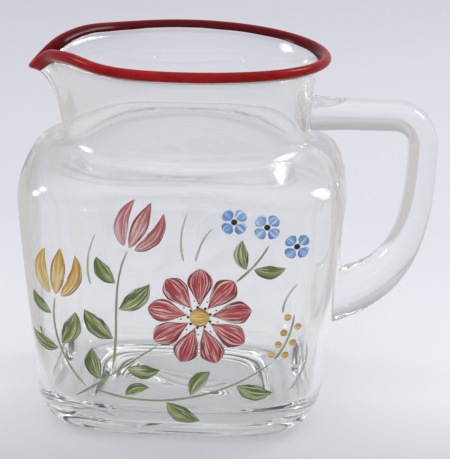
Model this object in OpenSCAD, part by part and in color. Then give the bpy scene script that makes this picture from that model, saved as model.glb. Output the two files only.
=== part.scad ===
// Clear glass serving pitcher: a square body with soft corners, a round neck, a turned-out lip
// drawn into a pour lip, a solid handle put on hot, and enamel fired on to the outside.
// The origin is the centre of the resting plane, under the axis of the neck.
// +Z is up, +X points to the handle and -X to the pour lip. The painted face looks along -Y.

/* [Body] */
// Height from the table to the top of the round part of the lip
jug_h = 166.5; // [150:0.5:190]
// Width across the flats at the shoulder, the widest place
shoulder_w = 147; // [140:1:160]
// Height of the widest place
shoulder_z = 104.5; // [92:0.5:108]
// Width across the flats at the top of the heel
heel_w = 132; // [120:0.2:138]
// Height of the rounded heel
heel_h = 20; // [14:1:28]
// Lean of the walls at the top of the heel, in degrees
wall_lean = 5.5; // [3:0.5:9]
// Width of the square foot that it stands on
foot_w = 101; // [94:1:108]
// Squareness of the body in plan: 2 is round, 4 a square with soft corners
squareness = 4.2; // [3:0.1:6]
// Thickness of the walls
wall_t = 4; // [2.5:0.1:5.5]
// Thickness of the floor at its edge
floor_t = 8; // [6:0.5:11]
// Rise of the floor from its edge to its middle
floor_rise = 2; // [0:0.5:4]

/* [Hollow under the foot] */
// Width of the hollow
hollow_w = 86; // [70:1:90]
// Height of the hollow in its middle
hollow_h = 5; // [2:0.5:5.5]

/* [Neck and lip] */
// Height of the root of the neck, where the shoulder meets it
neck_z = 125; // [118:0.5:129]
// Outer diameter of the neck at its root
neck_d = 112.2; // [104:0.2:116]
// Diameter over the lip
lip_d = 130; // [126:1:140]
// How far the middle of the lip lies from the axis of the neck, towards the pour lip
lip_shift = 1.1; // [0:0.1:2.5]
// How much lower the lip is at the handle than at the front
lip_sag = 2; // [0:0.1:3]
// Thickness of the rounded edge of the lip
lip_t = 4; // [3:0.1:5]
// Hollow rounding between the shoulder and the neck
root_fillet = 5; // [3:0.5:8]

/* [Pour lip] */
// How far its tip stands out past the round lip
spout_out = 6.2; // [4:0.2:10]
// How far its tip dips below the round lip
spout_dip = 8; // [3:0.2:11]
// Half angle of the pinched channel
spout_angle = 8.5; // [7:0.5:14]
// How far the lip is drawn in beside it
pinch_in = 3.6; // [0:0.1:4]
// How far the lip is raised beside it
pinch_rise = 2.4; // [0:0.1:3]
// Angle from the tip to the place where the lip is drawn in
pinch_angle = 34; // [28:1:44]

/* [Handle] */
// Height of the middle of the upper bar
bar_z = 137; // [133:0.5:141]
// Distance from the axis of the neck to the middle of the grip
grip_x = 107.4; // [98:0.2:120]
// Radius of the bend from the bar to the grip, on its middle line
bend_r = 13; // [11:0.5:20]
// Height of the middle of the lower root
root_z = 50; // [43:0.5:60]
// Thickness of the bar and the grip
handle_t = 13.4; // [10:0.2:16]
// Thickness of the lower root
root_t = 28; // [20:0.5:30]
// Depth of the handle from front to back
handle_depth = 20; // [14:0.5:26]
// How much thicker the glass spreads where the bar meets the neck
bar_flare = 2; // [0:0.5:5]

/* [Enamel] */
// Thickness of the fired enamel
enamel_t = 0.4; // [0.2:0.05:0.6]
// How far the enamel of the lip reaches down inside
coat_in = 3.4; // [1:0.2:8]
// How far it reaches down outside, below the rounded edge
coat_out = 0.8; // [0.4:0.2:4]

/* [Painted spray] */
// Place of the daisy from the middle of the front, in hundredths of the width of the shoulder
daisy_x = 6.8; // [3:0.2:9]
// Height of the daisy, in hundredths of the height of the shoulder
daisy_z = 58.9; // [55:0.1:61]
// Radius of the daisy over its petals
daisy_r = 22.6; // [18:0.2:24]
// Number of its petals
petal_count = 9; // [7:1:11]
// Radius of its yellow centre
centre_r = 4.4; // [3:0.1:5.5]
// Length of the tulips
tulip_len = 22; // [18:0.5:23]
// Radius of the small blue blossoms
blossom_r = 6; // [4.4:0.1:6.4]
// Diameter of a berry
berry_d = 3.2; // [2:0.1:3.6]
// Length of a leaf
leaf_len = 18; // [13:0.5:19]
// Width of a leaf
leaf_w = 8.4; // [5:0.1:8.8]
// Width of the stems at their root
stem_w = 1.3; // [0.8:0.1:1.6]

/* [Hidden] */

// Space left between the glass body and what is fused on to it
seat = 0.05;
// Points round each ring, and how far they are drawn towards the pour lip, in degrees
segments = 60;
crowding = 23;
// Points round the handle's section, and its squareness
handle_segments = 24;
handle_squareness = 2.7;
// Depth of the glass that is ground off to make the foot flat
foot_grind = 0.5;
// The pour lip: height at which it starts to shape the neck, how much wider its channel is there
// than at the edge, the spread in degrees of what is drawn in and raised beside it, and how late
// it bends out and dips
spout_z = neck_z - 4;
channel_widening = 0.8;
pinch_spread = 24;
rise_spread = 20;
out_power = 1.3;
dip_power = 2.6;
// Centre of the rounded edge of the lip: distance from the axis, and height
lip_r = lip_t / 2;
lip_c = [lip_d / 2 - lip_r, jug_h - lip_r];
// Slope of the lip, and the angles at which its rounded edge starts and ends
lip_slope = 30;
lip_from = lip_slope - 90;
lip_to = lip_slope + 90;

function unit(v) = v / norm(v);
function reverse(list) = [for (i = [len(list) - 1:-1:0]) list[i]];
// A list without its first, or without its last, point
function tail(list) = [for (i = [1:len(list) - 1]) list[i]];
function head(list) = [for (i = [0:len(list) - 2]) list[i]];
function bezier_at(p, t) =
    (1 - t) ^ 3 * p[0] + 3 * t * (1 - t) ^ 2 * p[1] + 3 * t ^ 2 * (1 - t) * p[2] + t ^ 3 * p[3];
function bezier(p, steps, from = 0, to = 1) =
    [for (i = [0:steps]) bezier_at(p, from + (to - from) * i / steps)];
function polar(r, a) = [r * cos(a), r * sin(a)];

// A profile is a list of [half width, height, squareness], from the table up the outside,
// over the lip and down the inside.
function with_square(line, n) = [for (p = line) [p[0], p[1], n]];
function tangent(line, i) =
    let (a = line[max(i - 1, 0)], b = line[min(i + 1, len(line) - 1)])
    unit([b[0] - a[0], b[1] - a[1]]);
// Moves a profile sideways by d, away from the glass
function shifted(line, d) = [
    for (i = [0:len(line) - 1])
        let (t = tangent(line, i))
        [line[i][0] + d * t[1], line[i][1] - d * t[0], line[i][2]]
];

// The side wall, from the top of the heel to the widest place
side_low = [heel_w / 2, heel_h];
side_high = [shoulder_w / 2, shoulder_z];
side_rise = shoulder_z - heel_h;
side_dir = [sin(wall_lean), cos(wall_lean)];
side_steps = 4;
side_line = bezier([
    side_low,
    side_low + 0.5 * side_rise * side_dir,
    side_high - [0, 0.1 * side_rise],
    side_high
], side_steps);

heel_line = bezier([
    [foot_w / 2, -foot_grind],
    [foot_w / 2 + 0.6 * (heel_w - foot_w) / 2, -foot_grind],
    side_low - 0.55 * heel_h * side_dir,
    side_low
], 5);

// The shoulder, round and then rising at a low slope to the fillet at the root of the neck
neck_root = [neck_d / 2, neck_z + root_fillet];
shoulder_rise = neck_z - shoulder_z;
shoulder_slope = 14;
slope_dir = [-cos(shoulder_slope), sin(shoulder_slope)];
shoulder_end = [neck_d / 2 + root_fillet, neck_z - root_fillet * tan(shoulder_slope)];
shoulder_curve = [
    side_high,
    side_high + [0, 0.65 * shoulder_rise],
    shoulder_end - 0.6 * (side_high[0] - shoulder_end[0]) * slope_dir,
    shoulder_end
];
fillet_curve = [
    shoulder_end,
    shoulder_end + 0.6 * root_fillet * slope_dir,
    neck_root - [0, 0.6 * root_fillet],
    neck_root
];
shoulder_steps = 6;
fillet_steps = 2;
// The plan turns from square to round along the shoulder
function shoulder_square(t) = 1 / (1 / squareness + (1 / 2 - 1 / squareness) * t * t * (3 - 2 * t));
shoulder_line = [
    for (i = [1:shoulder_steps])
        let (t = i / shoulder_steps, p = bezier_at(shoulder_curve, t))
        [p[0], p[1], shoulder_square(t)]
];
fillet_line = with_square(bezier(fillet_curve, fillet_steps), 2);

neck_rise = lip_c[1] - neck_root[1];
lip_reach = lip_c[0] - neck_root[0];
lip_dir = [cos(lip_slope), sin(lip_slope)];
lip_under = lip_c + polar(lip_r, lip_from);
lip_inside = lip_c + polar(lip_r, lip_to);
neck_curve = [
    neck_root,
    neck_root + [0.04, 0.5] * neck_rise,
    lip_under - lip_reach * lip_dir,
    lip_under
];
neck_steps = 6;
// The part of a neck curve that the enamel covers: it is 3 * lip_reach long for a whole step
coat_start = 1 - coat_out / (3 * lip_reach);
neck_line = bezier(neck_curve, neck_steps, 0, coat_start);
coat_out_line = bezier(neck_curve, 1, coat_start, 1);
edge_steps = 5;
edge_line = [
    for (i = [0:edge_steps])
        lip_c + polar(lip_r, lip_from + (lip_to - lip_from) * i / edge_steps)
];

outer_side = concat(with_square(side_line, squareness), shoulder_line, tail(fillet_line));
inner_side = shifted(outer_side, -wall_t);
inner_root = inner_side[len(inner_side) - 1];
inner_neck_curve = [
    lip_inside,
    lip_inside - lip_reach * lip_dir,
    [inner_root[0], inner_root[1] + 0.5 * neck_rise],
    [inner_root[0], inner_root[1]]
];
coat_end = coat_in / (3 * lip_reach);
coat_line = bezier(inner_neck_curve, 2, 0, coat_end);
inner_neck_line = bezier(inner_neck_curve, neck_steps - 1, coat_end, 1);

floor_w = foot_w / 2 - wall_t;
inner_low = inner_side[0];
inner_heel_line = bezier([
    [inner_low[0], inner_low[1]],
    [inner_low[0], inner_low[1]] - 0.5 * (heel_h - floor_t) * side_dir,
    [floor_w + 0.4 * (inner_low[0] - floor_w), floor_t],
    [floor_w, floor_t]
], 5);

// The hollow under the foot, pressed up with a steep edge and a nearly flat middle
hollow_line = [
    [0.63 * hollow_w / 2, 0.8 * hollow_h],
    [0.88 * hollow_w / 2, 0.55 * hollow_h],
    [hollow_w / 2, -foot_grind]
];
// The floor inside rises gently to its middle
floor_line = [[floor_w / 2, floor_t + 0.75 * floor_rise]];

lip_profile = with_square(concat(head(coat_out_line), edge_line, tail(coat_line)), 2);
glass_profile = concat(
    with_square(hollow_line, squareness),
    with_square(head(heel_line), squareness),
    outer_side,
    with_square(head(tail(neck_line)), 2),
    lip_profile,
    with_square(tail(head(inner_neck_line)), 2),
    head(reverse(inner_side)),
    with_square(inner_heel_line, squareness),
    with_square(floor_line, squareness)
);

// Angle of each point round a ring, closer together at the pour lip
function ring_angle(j) = let (a = 360 * j / segments) a + crowding * sin(a);
// Point of a ring: its radius is the half width over (|c|^n + |s|^n)^(1/n) for squareness n. The
// points of a square ring are drawn towards its corners, where it bends most.
function square_point(p, a) =
    let (
        n = p[2],
        spread = (2 / n) ^ 0.45,
        c = sign(cos(a)) * abs(cos(a)) ^ spread,
        s = sign(sin(a)) * abs(sin(a)) ^ spread,
        r = p[0] / (abs(c) ^ n + abs(s) ^ n) ^ (1 / n)
    )
    [r * c, r * s, p[1]];
function bell(a, width) = exp(-(a / width) ^ 2);
// Draws the neck and the lip out into the pour lip: out and down at the tip, in and up beside it.
// The lip is lower at the tip and at the handle than at the front and the back.
function poured(p) =
    let (
        r = norm([p[0], p[1]]),
        t = min(1, max(0, (p[2] - spout_z) / (lip_c[1] - spout_z))),
        a = abs(atan2(p[1], -p[0])),
        tip = bell(a, spout_angle * (1 + channel_widening * (1 - t))),
        out = t ^ out_power * (spout_out * tip - pinch_in * bell(a - pinch_angle, pinch_spread)),
        rise = pinch_rise * bell(a - pinch_angle, rise_spread),
        sag = lip_sag * (p[0] / r) ^ 2,
        lift = t ^ dip_power * (rise - sag - spout_dip * tip)
    )
    [p[0] * (1 + out / r), p[1] * (1 + out / r), p[2] + lift];
// The neck leans: the lip is set towards the pour lip, and the root isn't
function lean(z) =
    let (t = min(1, max(0, (z - neck_z) / (lip_c[1] - neck_z))))
    -lip_shift * t * t * (3 - 2 * t);
function ring(p) = [
    for (j = [0:segments - 1]) poured(square_point(p, ring_angle(j))) + [lean(p[1]), 0, 0]
];

// Triangles between rows of n points: rows run up the outside, points run round to the left
function band(rows, n, closed = false) = [
    for (i = [0:rows - (closed ? 1 : 2)], j = [0:n - 1])
        let (
            k = (i + 1) % rows,
            a = i * n + j,
            b = i * n + (j + 1) % n,
            c = k * n + (j + 1) % n,
            d = k * n + j
        )
        each [[a, d, c], [a, c, b]]
];
// Fans that close the first and the last row on a point each
function fans(rows, n, first, last) = [
    for (j = [0:n - 1])
        let (k = (j + 1) % n, m = (rows - 1) * n)
        each [[first, j, k], [m + j, last, m + k]]
];

// Blown and pressed body: one skin round the outside, over the lip and down to the floor inside
module glass_body() {
    rows = len(glass_profile);
    count = rows * segments;
    color([0.86, 0.9, 0.92, 0.45])
    difference() {
        polyhedron(
            concat(
                [for (p = glass_profile) each ring(p)],
                [[0, 0, hollow_h], [0, 0, floor_t + floor_rise]]
            ),
            concat(band(rows, segments), fans(rows, segments, count, count + 1)),
            convexity = 8
        );
        // The foot is ground flat
        translate([-shoulder_w / 2, -shoulder_w / 2, -2 * foot_grind])
            cube([shoulder_w, shoulder_w, 2 * foot_grind]);
    }
}

// Middle line of the handle, as [x, z, half thickness]
bar_from = neck_d / 2 - 2 * wall_t;
bar_to = grip_x - bend_r;
root_x = heel_w / 2 - wall_t;
grip_top = [grip_x, bar_z - bend_r];
grip_fall = grip_top[1] - root_z;
grip_curve = [
    grip_top,
    grip_top - [0, 0.5 * grip_fall],
    [grip_x - 0.08 * (grip_x - root_x), root_z + 0.08 * grip_fall],
    [root_x, root_z]
];
flare_reach = 9;
bar_steps = 5;
bend_steps = 7;
grip_steps = 13;
handle_line = concat(
    [
        for (i = [0:bar_steps - 1])
            let (
                x = bar_from + (bar_to - bar_from) * i / bar_steps,
                flare = bar_flare * bell(x - neck_d / 2, flare_reach)
            )
            [x, bar_z, (handle_t + flare) / 2]
    ],
    [
        for (i = [0:bend_steps - 1])
            let (p = [bar_to, bar_z - bend_r] + polar(bend_r, 90 - 90 * i / bend_steps))
            [p[0], p[1], handle_t / 2]
    ],
    [
        for (i = [0:grip_steps])
            let (t = i / grip_steps, p = bezier_at(grip_curve, t))
            [p[0], p[1], (handle_t + (root_t - handle_t) * t ^ 3) / 2]
    ]
);
function handle_ring(i) =
    let (p = handle_line[i], t = tangent(handle_line, i), e = 2 / handle_squareness)
    [
        for (j = [0:handle_segments - 1])
            let (
                a = 360 * j / handle_segments,
                across = p[2] * sign(cos(a)) * abs(cos(a)) ^ e,
                deep = handle_depth / 2 * sign(sin(a)) * abs(sin(a)) ^ e
            )
            [p[0] - t[1] * across, -deep, p[1] + t[0] * across]
    ];

// Room that the neck takes, for the upper end of the handle
module neck_room() {
    line = shifted(with_square(concat(fillet_line, tail(neck_line)), 2), seat);
    count = len(line) * segments;
    polyhedron(
        concat(
            [for (p = line) each ring(p)],
            [[0, 0, line[0][1]], [0, 0, line[len(line) - 1][1]]]
        ),
        concat(band(len(line), segments), fans(len(line), segments, count, count + 1)),
        convexity = 4
    );
}

// Room that the side wall takes, for the lower end of the handle
module side_room() {
    rotate([90, 0, 0])
        linear_extrude(2 * handle_depth, center = true)
        polygon(concat(
            [[0, heel_h]],
            [for (p = shifted(side_line, seat)) [p[0], p[1]]],
            [[0, shoulder_z]]
        ));
}

// Solid bar of glass, bent while hot and pressed on to the neck and the side
module glass_handle() {
    rows = len(handle_line);
    count = rows * handle_segments;
    color([0.84, 0.89, 0.92, 0.6])
    difference() {
        polyhedron(
            concat(
                [for (i = [0:rows - 1]) each handle_ring(i)],
                [[bar_from, 0, bar_z], [root_x, 0, root_z]]
            ),
            concat(band(rows, handle_segments), fans(rows, handle_segments, count, count + 1)),
            convexity = 6
        );
        neck_room();
        side_room();
    }
}

// Red enamel over the edge of the lip and a little way down inside
module lip_enamel() {
    last = len(lip_profile) - 1;
    back = shifted(lip_profile, seat);
    front = [
        for (i = [0:last])
            shifted(lip_profile, seat + enamel_t * (i == 0 || i == last ? 0.4 : 1))[i]
    ];
    loop = concat(front, reverse(back));
    color([0.72, 0.09, 0.12])
    polyhedron(
        [for (p = loop) each ring(p)],
        band(len(loop), segments, closed = true),
        convexity = 8
    );
}

// The front of the body, for the paint, as rows of [half width, height, squareness]
front_rows = concat(with_square(head(heel_line), squareness), outer_side);
// A point of the spray, given as [x, z], laid on the front at a distance from the glass
function on_front(p, lift) =
    let (depths = [
        for (row = front_rows)
            let (w = row[0], n = row[2])
            [row[1], w * max(0, 1 - abs(p[0] / w) ^ n) ^ (1 / n)]
    ])
    [p[0], -lookup(p[1], depths) - lift, p[1]];

// One brush stroke of enamel. Its line holds [x, z, half width], with no width at both ends.
// The section of a stroke is flat on the glass and low at its edges.
stroke_section = [[-1, 0], [0, 0], [1, 0], [0.7, 0.8], [0, 1], [-0.7, 0.8]];
module painted(line) {
    rows = len(line) - 2;
    n = len(stroke_section);
    body = [
        for (i = [1:rows])
            let (p = line[i], t = tangent(line, i))
            each [
                for (q = stroke_section)
                    on_front([p[0] - t[1] * q[0] * p[2], p[1] + t[0] * q[0] * p[2]],
                        seat + enamel_t * q[1])
            ]
    ];
    ends = [for (p = [line[0], line[rows + 1]]) on_front(p, seat + enamel_t / 2)];
    polyhedron(
        concat(body, ends),
        concat(band(rows, n), fans(rows, n, rows * n, rows * n + 1)),
        convexity = 4
    );
}
// Steps from 0 to 1 that are closer together at both ends
function eased(steps) = [for (i = [0:steps]) (1 - cos(180 * i / steps)) / 2];
// Outline of a petal or leaf: belly moves its widest place outwards, blunt rounds its ends
function petal(base, angle, length, width, belly, blunt, bend = 0, steps = 8) = [
    for (s = eased(steps))
        let (p = base + polar(length * s, angle) + polar(bend * 4 * s * (1 - s), angle + 90))
        [p[0], p[1], width / 2 * max(0, sin(180 * s ^ belly)) ^ blunt]
];
// A stem or blade along a curve, from one width to another
function ribbon(curve, from_w, to_w, steps = 11) = [
    for (s = eased(steps))
        let (p = bezier_at(curve, s))
        [p[0], p[1], s == 0 || s == 1 ? 0 : (from_w + (to_w - from_w) * s) / 2]
];

// Layout of the spray on the front, as [x, z]. Its spots are given in hundredths of the width of
// the shoulder and of its height.
paint_gap = 0.4;
function spot(p) = [p[0] * shoulder_w, p[1] * shoulder_z] / 100;
function spots(line) = [for (p = line) spot(p)];
daisy_at = spot([daisy_x, daisy_z]);
main_stem = [
    spot([-29.7, 20.4]),
    spot([-20.3, 29.1]),
    spot([-13.5, 37.9]),
    daisy_at + polar(daisy_r + paint_gap, 218)
];
function beside_main(t, side) =
    let (d = bezier_at(main_stem, t + 0.01) - bezier_at(main_stem, t))
    bezier_at(main_stem, t) + side * (stem_w + paint_gap) * [-d[1], d[0]] / norm(d);
left_stem = [beside_main(0.14, 1), spot([-33.8, 35]), spot([-37.8, 50.5]), spot([-35.8, 64.1])];
tall_stem = [beside_main(0.46, 1), spot([-16.2, 54.4]), spot([-19.6, 71.8]), spot([-14.2, 87.4])];
low_stem = [beside_main(0.2, -1), spot([-8.1, 16.5]), spot([10.8, 19.4]), spot([28.4, 38.8])];
right_stem = [
    daisy_at + polar(daisy_r + paint_gap, 48),
    spot([21.6, 80.6]),
    spot([24.3, 85.4]),
    spot([26.4, 91.3])
];
berry_stem = [spot([29.1, 40.3]), spot([31.8, 44.7]), spot([33.8, 50.5]), spot([34.5, 60.2])];
stems_all = [main_stem, left_stem, tall_stem, low_stem, right_stem, berry_stem];
// Leaves: the stem, the place on it, the side, the size against a full leaf, the turn from it
leaf_places = [
    [main_stem, 0.3, 1, 0.85, 66], [main_stem, 0.6, -1, 0.8, 40],
    [left_stem, 0.46, 1, 0.75, 50], [left_stem, 0.5, -1, 0.95, 40], [left_stem, 0.82, 1, 0.66, 46],
    [tall_stem, 0.24, 1, 1, 46], [tall_stem, 0.48, -1, 1, 46], [tall_stem, 0.7, 1, 0.8, 42],
    [low_stem, 0.18, 1, 0.62, 30], [low_stem, 0.42, -1, 0.95, 36],
    [low_stem, 0.56, 1, 0.8, 40], [low_stem, 0.8, -1, 0.9, 40],
    [right_stem, 0.3, 1, 0.75, 52], [right_stem, 0.4, -1, 0.75, 48]
];
grass_places = [
    [[-25, 71.8], [-26.4, 77.7], [-26.4, 85.4], [-23.6, 94.2]],
    [[2, 83.5], [0.7, 89.3], [0.7, 96.1], [2.7, 103.9]],
    [[5.4, 83.5], [6.1, 89.3], [7.4, 94.2], [10.1, 98.1]],
    [[33.8, 25.2], [37.8, 31.1], [39.2, 38.8], [38.5, 45.6]],
    [[31.1, 61.2], [31.1, 66], [32.4, 69.9], [35.1, 73.8]],
    [[-31.1, 13.6], [-25.7, 15.5], [-21.6, 14.6], [-17.6, 11.7]]
];
blossom_places = [[25.7, 99], [16.2, 101], [34.5, 90.3]];

module daisy_petals() {
    from = centre_r + paint_gap;
    belly_r = from + 0.62 * (daisy_r - from);
    width = 2 * belly_r * tan(180 / petal_count) - 2 * paint_gap;
    color([0.66, 0.14, 0.17])
    for (k = [0:petal_count - 1])
        let (a = 90 + 360 * k / petal_count)
        painted(petal(daisy_at + polar(from, a), a, daisy_r - from, width, 1.7, 0.7));
}

// Round dab of enamel
module dab(at, r) {
    painted(petal(at - [r, 0], 0, 2 * r, 2 * r, 1, 0.5));
}

module daisy_centre() {
    color([0.86, 0.7, 0.27])
    dab(daisy_at, centre_r);
}

// Three petals of a tulip that opens along the angle
module tulip(at, angle) {
    width = 0.36 * tulip_len;
    for (side = [-1, 1])
        painted(petal(at + polar(0.11 * tulip_len, angle + 90 * side), angle + 12 * side,
            0.94 * tulip_len, 0.76 * width, 0.8, 0.75, side * 0.15 * tulip_len));
    painted(petal(at, angle, tulip_len, 0.84 * width, 0.9, 0.8));
}

module pink_tulip() {
    color([0.8, 0.42, 0.45])
    tulip(tall_stem[3] + polar(paint_gap + 1, 66), 66);
}

module yellow_tulip() {
    color([0.86, 0.68, 0.26])
    tulip(left_stem[3] + polar(paint_gap + 1, 84), 84);
}

module blue_blossoms() {
    eye = 0.26 * blossom_r;
    color([0.36, 0.58, 0.86])
    for (at = spots(blossom_places), k = [0:3])
        let (a = 45 + 90 * k)
        painted(petal(at + polar(eye, a), a, blossom_r - eye, 0.92 * blossom_r, 1.15, 0.5, steps = 6));
}

module yellow_berries() {
    color([0.87, 0.72, 0.3])
    for (k = [0:6])
        let (
            side = k % 2 == 0 ? 1 : -1,
            t = 0.06 + 0.148 * k,
            d = bezier_at(berry_stem, t) - bezier_at(berry_stem, t - 0.01),
            reach = berry_d / 2 + stem_w / 2 + paint_gap
        )
        dab(bezier_at(berry_stem, t) + side * reach * [-d[1], d[0]] / norm(d), berry_d / 2);
}

module leaves() {
    color([0.4, 0.5, 0.24])
    for (place = leaf_places)
        let (
            at = bezier_at(place[0], place[1]),
            d = bezier_at(place[0], place[1] + 0.01) - at,
            side = place[2],
            heading = atan2(d[1], d[0])
        )
        painted(petal(
            at + polar(stem_w / 2 + paint_gap, heading + 90 * side), heading + side * place[4],
            leaf_len * place[3], leaf_w * place[3], 0.95, 0.9, side * 0.09 * leaf_len
        ));
}

module stems() {
    color([0.42, 0.52, 0.26])
    for (stem = stems_all)
        painted(ribbon(stem, stem_w, 0.7 * stem_w));
}

module grass_blades() {
    color([0.58, 0.62, 0.42])
    for (blade = grass_places)
        painted(ribbon(spots(blade), 0.8 * stem_w, 0.4 * stem_w, 8));
}

glass_body();
glass_handle();
lip_enamel();
daisy_petals();
daisy_centre();
pink_tulip();
yellow_tulip();
blue_blossoms();
yellow_berries();
leaves();
stems();
grass_blades();
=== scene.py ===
"""Square glass pitcher: round neck, pinched pour lip, solid glass handle and fired enamel.

The script follows the object as it is put together: the pressed body, the handle put on hot, the
enamel banded on the lip, and the spray painted on the front. The studio comes last. Sizes are in
millimetres and are turned to metres where a mesh is made.
"""

import math

import bpy
import numpy as np
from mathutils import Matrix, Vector


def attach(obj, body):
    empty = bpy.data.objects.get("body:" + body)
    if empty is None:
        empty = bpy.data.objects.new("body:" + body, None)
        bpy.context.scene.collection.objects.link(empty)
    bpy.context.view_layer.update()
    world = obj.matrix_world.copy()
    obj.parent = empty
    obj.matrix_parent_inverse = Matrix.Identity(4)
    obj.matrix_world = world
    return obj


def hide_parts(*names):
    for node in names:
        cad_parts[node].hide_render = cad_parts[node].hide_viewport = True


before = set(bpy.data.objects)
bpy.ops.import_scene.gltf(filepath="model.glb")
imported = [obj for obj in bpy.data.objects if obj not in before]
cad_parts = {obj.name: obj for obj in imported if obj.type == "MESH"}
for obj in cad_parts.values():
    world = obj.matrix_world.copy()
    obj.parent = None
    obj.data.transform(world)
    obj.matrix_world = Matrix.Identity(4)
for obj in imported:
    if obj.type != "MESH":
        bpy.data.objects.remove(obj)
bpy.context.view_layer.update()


# ---- Glass body -------------------------------------------------------------------------------
# The vessel is soda-lime glass, gathered hot and shaped in a square mould, with the lip sheared
# off, opened out on a jack and pinched into a pour lip while soft. Its foot is ground flat.
# Fire polishing leaves it bright, with slow waves in the walls where the mould chilled it.

jug_h, neck_z, shoulder_z, heel_h = 166.5, 125.0, 104.5, 20.0
shoulder_w, heel_w, foot_w, hollow_w = 147.0, 132.0, 101.0, 86.0
neck_d, lip_d, lip_t, root_fillet = 112.2, 130.0, 4.0, 5.0
wall_t, floor_t, floor_rise, hollow_h = 4.0, 8.0, 2.0, 5.0
wall_lean, shoulder_slope, lip_slope = (math.radians(a) for a in (5.5, 14, 30))
squareness = 4.2
foot_grind = 0.5
# How far the lip is set towards the pour lip, and how much lower it is at its two ends
lip_shift, lip_sag = 1.1, 2.0
# The pour lip: how far it stands out and dips, and how far the lip is drawn in and raised beside it
spout_out, spout_dip, spout_angle = 6.2, 8.0, 8.5
pinch_in, pinch_rise, pinch_angle = 3.6, 2.4, 34.0
pinch_spread, rise_spread = 24.0, 20.0
# The height at which it starts to shape the neck, how much wider its channel is there than at the
# edge, and how late it bends out and dips
spout_z = neck_z - 4
channel_widening, out_power, dip_power = 0.8, 1.3, 2.6
# How far the handles of each curve of the profile reach, as shares of its rise or run
side_pull, side_top_pull, heel_pull, heel_side_pull = 0.5, 0.1, 0.3, 0.55
shoulder_pull, shoulder_in_pull, fillet_pull, neck_pull, neck_flare = 0.65, 0.6, 0.6, 0.5, 0.04
inner_side_pull, inner_floor_pull, hollow_power = 0.5, 0.4, 5
# Rings along each stretch of the profile, points round a ring, and how far, in radians, these are
# drawn towards the pour lip
hollow_steps, heel_steps, side_steps, shoulder_steps, fillet_steps = 23, 25, 37, 29, 11
neck_steps, edge_steps, inner_heel_steps, floor_steps = 33, 15, 19, 15
body_points, crowding = 256, 0.32


def bezier(p, t):
    """Cubic curve: (1-t)^3 p0 + 3t(1-t)^2 p1 + 3t^2(1-t) p2 + t^3 p3, for every t."""
    t = np.asarray(t, float)[..., None]
    pulls = [(1 - t) ** 3, 3 * t * (1 - t) ** 2, 3 * t**2 * (1 - t), t**3]
    return sum(pull * point for pull, point in zip(pulls, np.asarray(p, float)))


def steps(n, end=True):
    """n numbers from 0 to 1, with or without the 1."""
    return np.linspace(0, 1, n, endpoint=end)


def polar(r, a):
    """Point at radius r and angle a, in degrees."""
    a = np.radians(a)
    return np.stack([r * np.cos(a), r * np.sin(a)], -1)


def along(line):
    """Unit direction of a line of [x, z] at each point, from the points before and after it."""
    d = np.gradient(line, axis=0)
    return d / np.linalg.norm(d, axis=1, keepdims=True)


def shifted(line, d):
    """A profile moved sideways by d: each point goes along the normal (dz, -dx) of the line."""
    t = along(line)
    return line + d * np.stack([t[:, 1], -t[:, 0]], -1)


def bell(a, width):
    """exp(-(a / width)^2)."""
    return np.exp(-((a / width) ** 2))


lip_r = lip_t / 2
lip_c = np.array([lip_d / 2 - lip_r, jug_h - lip_r])
lip_from, lip_to = math.degrees(lip_slope) - 90, math.degrees(lip_slope) + 90


def climb(z):
    """How far a height is on its way from the start of the pour lip to the edge, from 0 to 1."""
    return np.clip((z - spout_z) / (lip_c[1] - spout_z), 0, 1)


def lean(z):
    """How far the neck has leant towards the pour lip: its shift times s^2 (3 - 2 s)."""
    s = np.clip((z - neck_z) / (lip_c[1] - neck_z), 0, 1)
    return -lip_shift * s * s * (3 - 2 * s)


def poured(p):
    """Draws the neck and lip into the pour lip. t is the climb to the lip. The tip goes out by
    t^out_power of its reach and down by t^dip_power of its dip, as bells round its angle; what is
    beside it goes in and up as bells of its own, and both ends of the lip sag with (x / r)^2."""
    x, y, z = p[..., 0], p[..., 1], p[..., 2]
    r, t = np.hypot(x, y) + 1e-9, climb(z)
    a = np.degrees(np.abs(np.arctan2(y, -x)))
    tip = bell(a, spout_angle * (1 + channel_widening * (1 - t)))
    out = t**out_power * (spout_out * tip - pinch_in * bell(a - pinch_angle, pinch_spread))
    rise = pinch_rise * bell(a - pinch_angle, rise_spread) - lip_sag * (x / r) ** 2
    lift = t**dip_power * (rise - spout_dip * tip)
    return np.stack([x * (1 + out / r) + lean(z), y * (1 + out / r), z + lift], -1)


def rings(profile, square, points):
    """A ring for each [half width, height] of a profile. Its radius at angle a is the half width
    over (|cos a|^n + |sin a|^n)^(1/n), where n is the squareness: 2 is round, 4 nearly square.
    The points lie closer together at the pour lip."""
    a = steps(points, end=False) * 2 * np.pi
    a = a + crowding * np.sin(a)
    c, s = np.cos(a), np.sin(a)
    n = np.broadcast_to(square, len(profile))[:, None]
    r = profile[:, :1] / (np.abs(c) ** n + np.abs(s) ** n) ** (1 / n)
    z = np.broadcast_to(profile[:, 1:2], r.shape)
    return poured(np.stack([r * c, r * s, z], -1))


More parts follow.
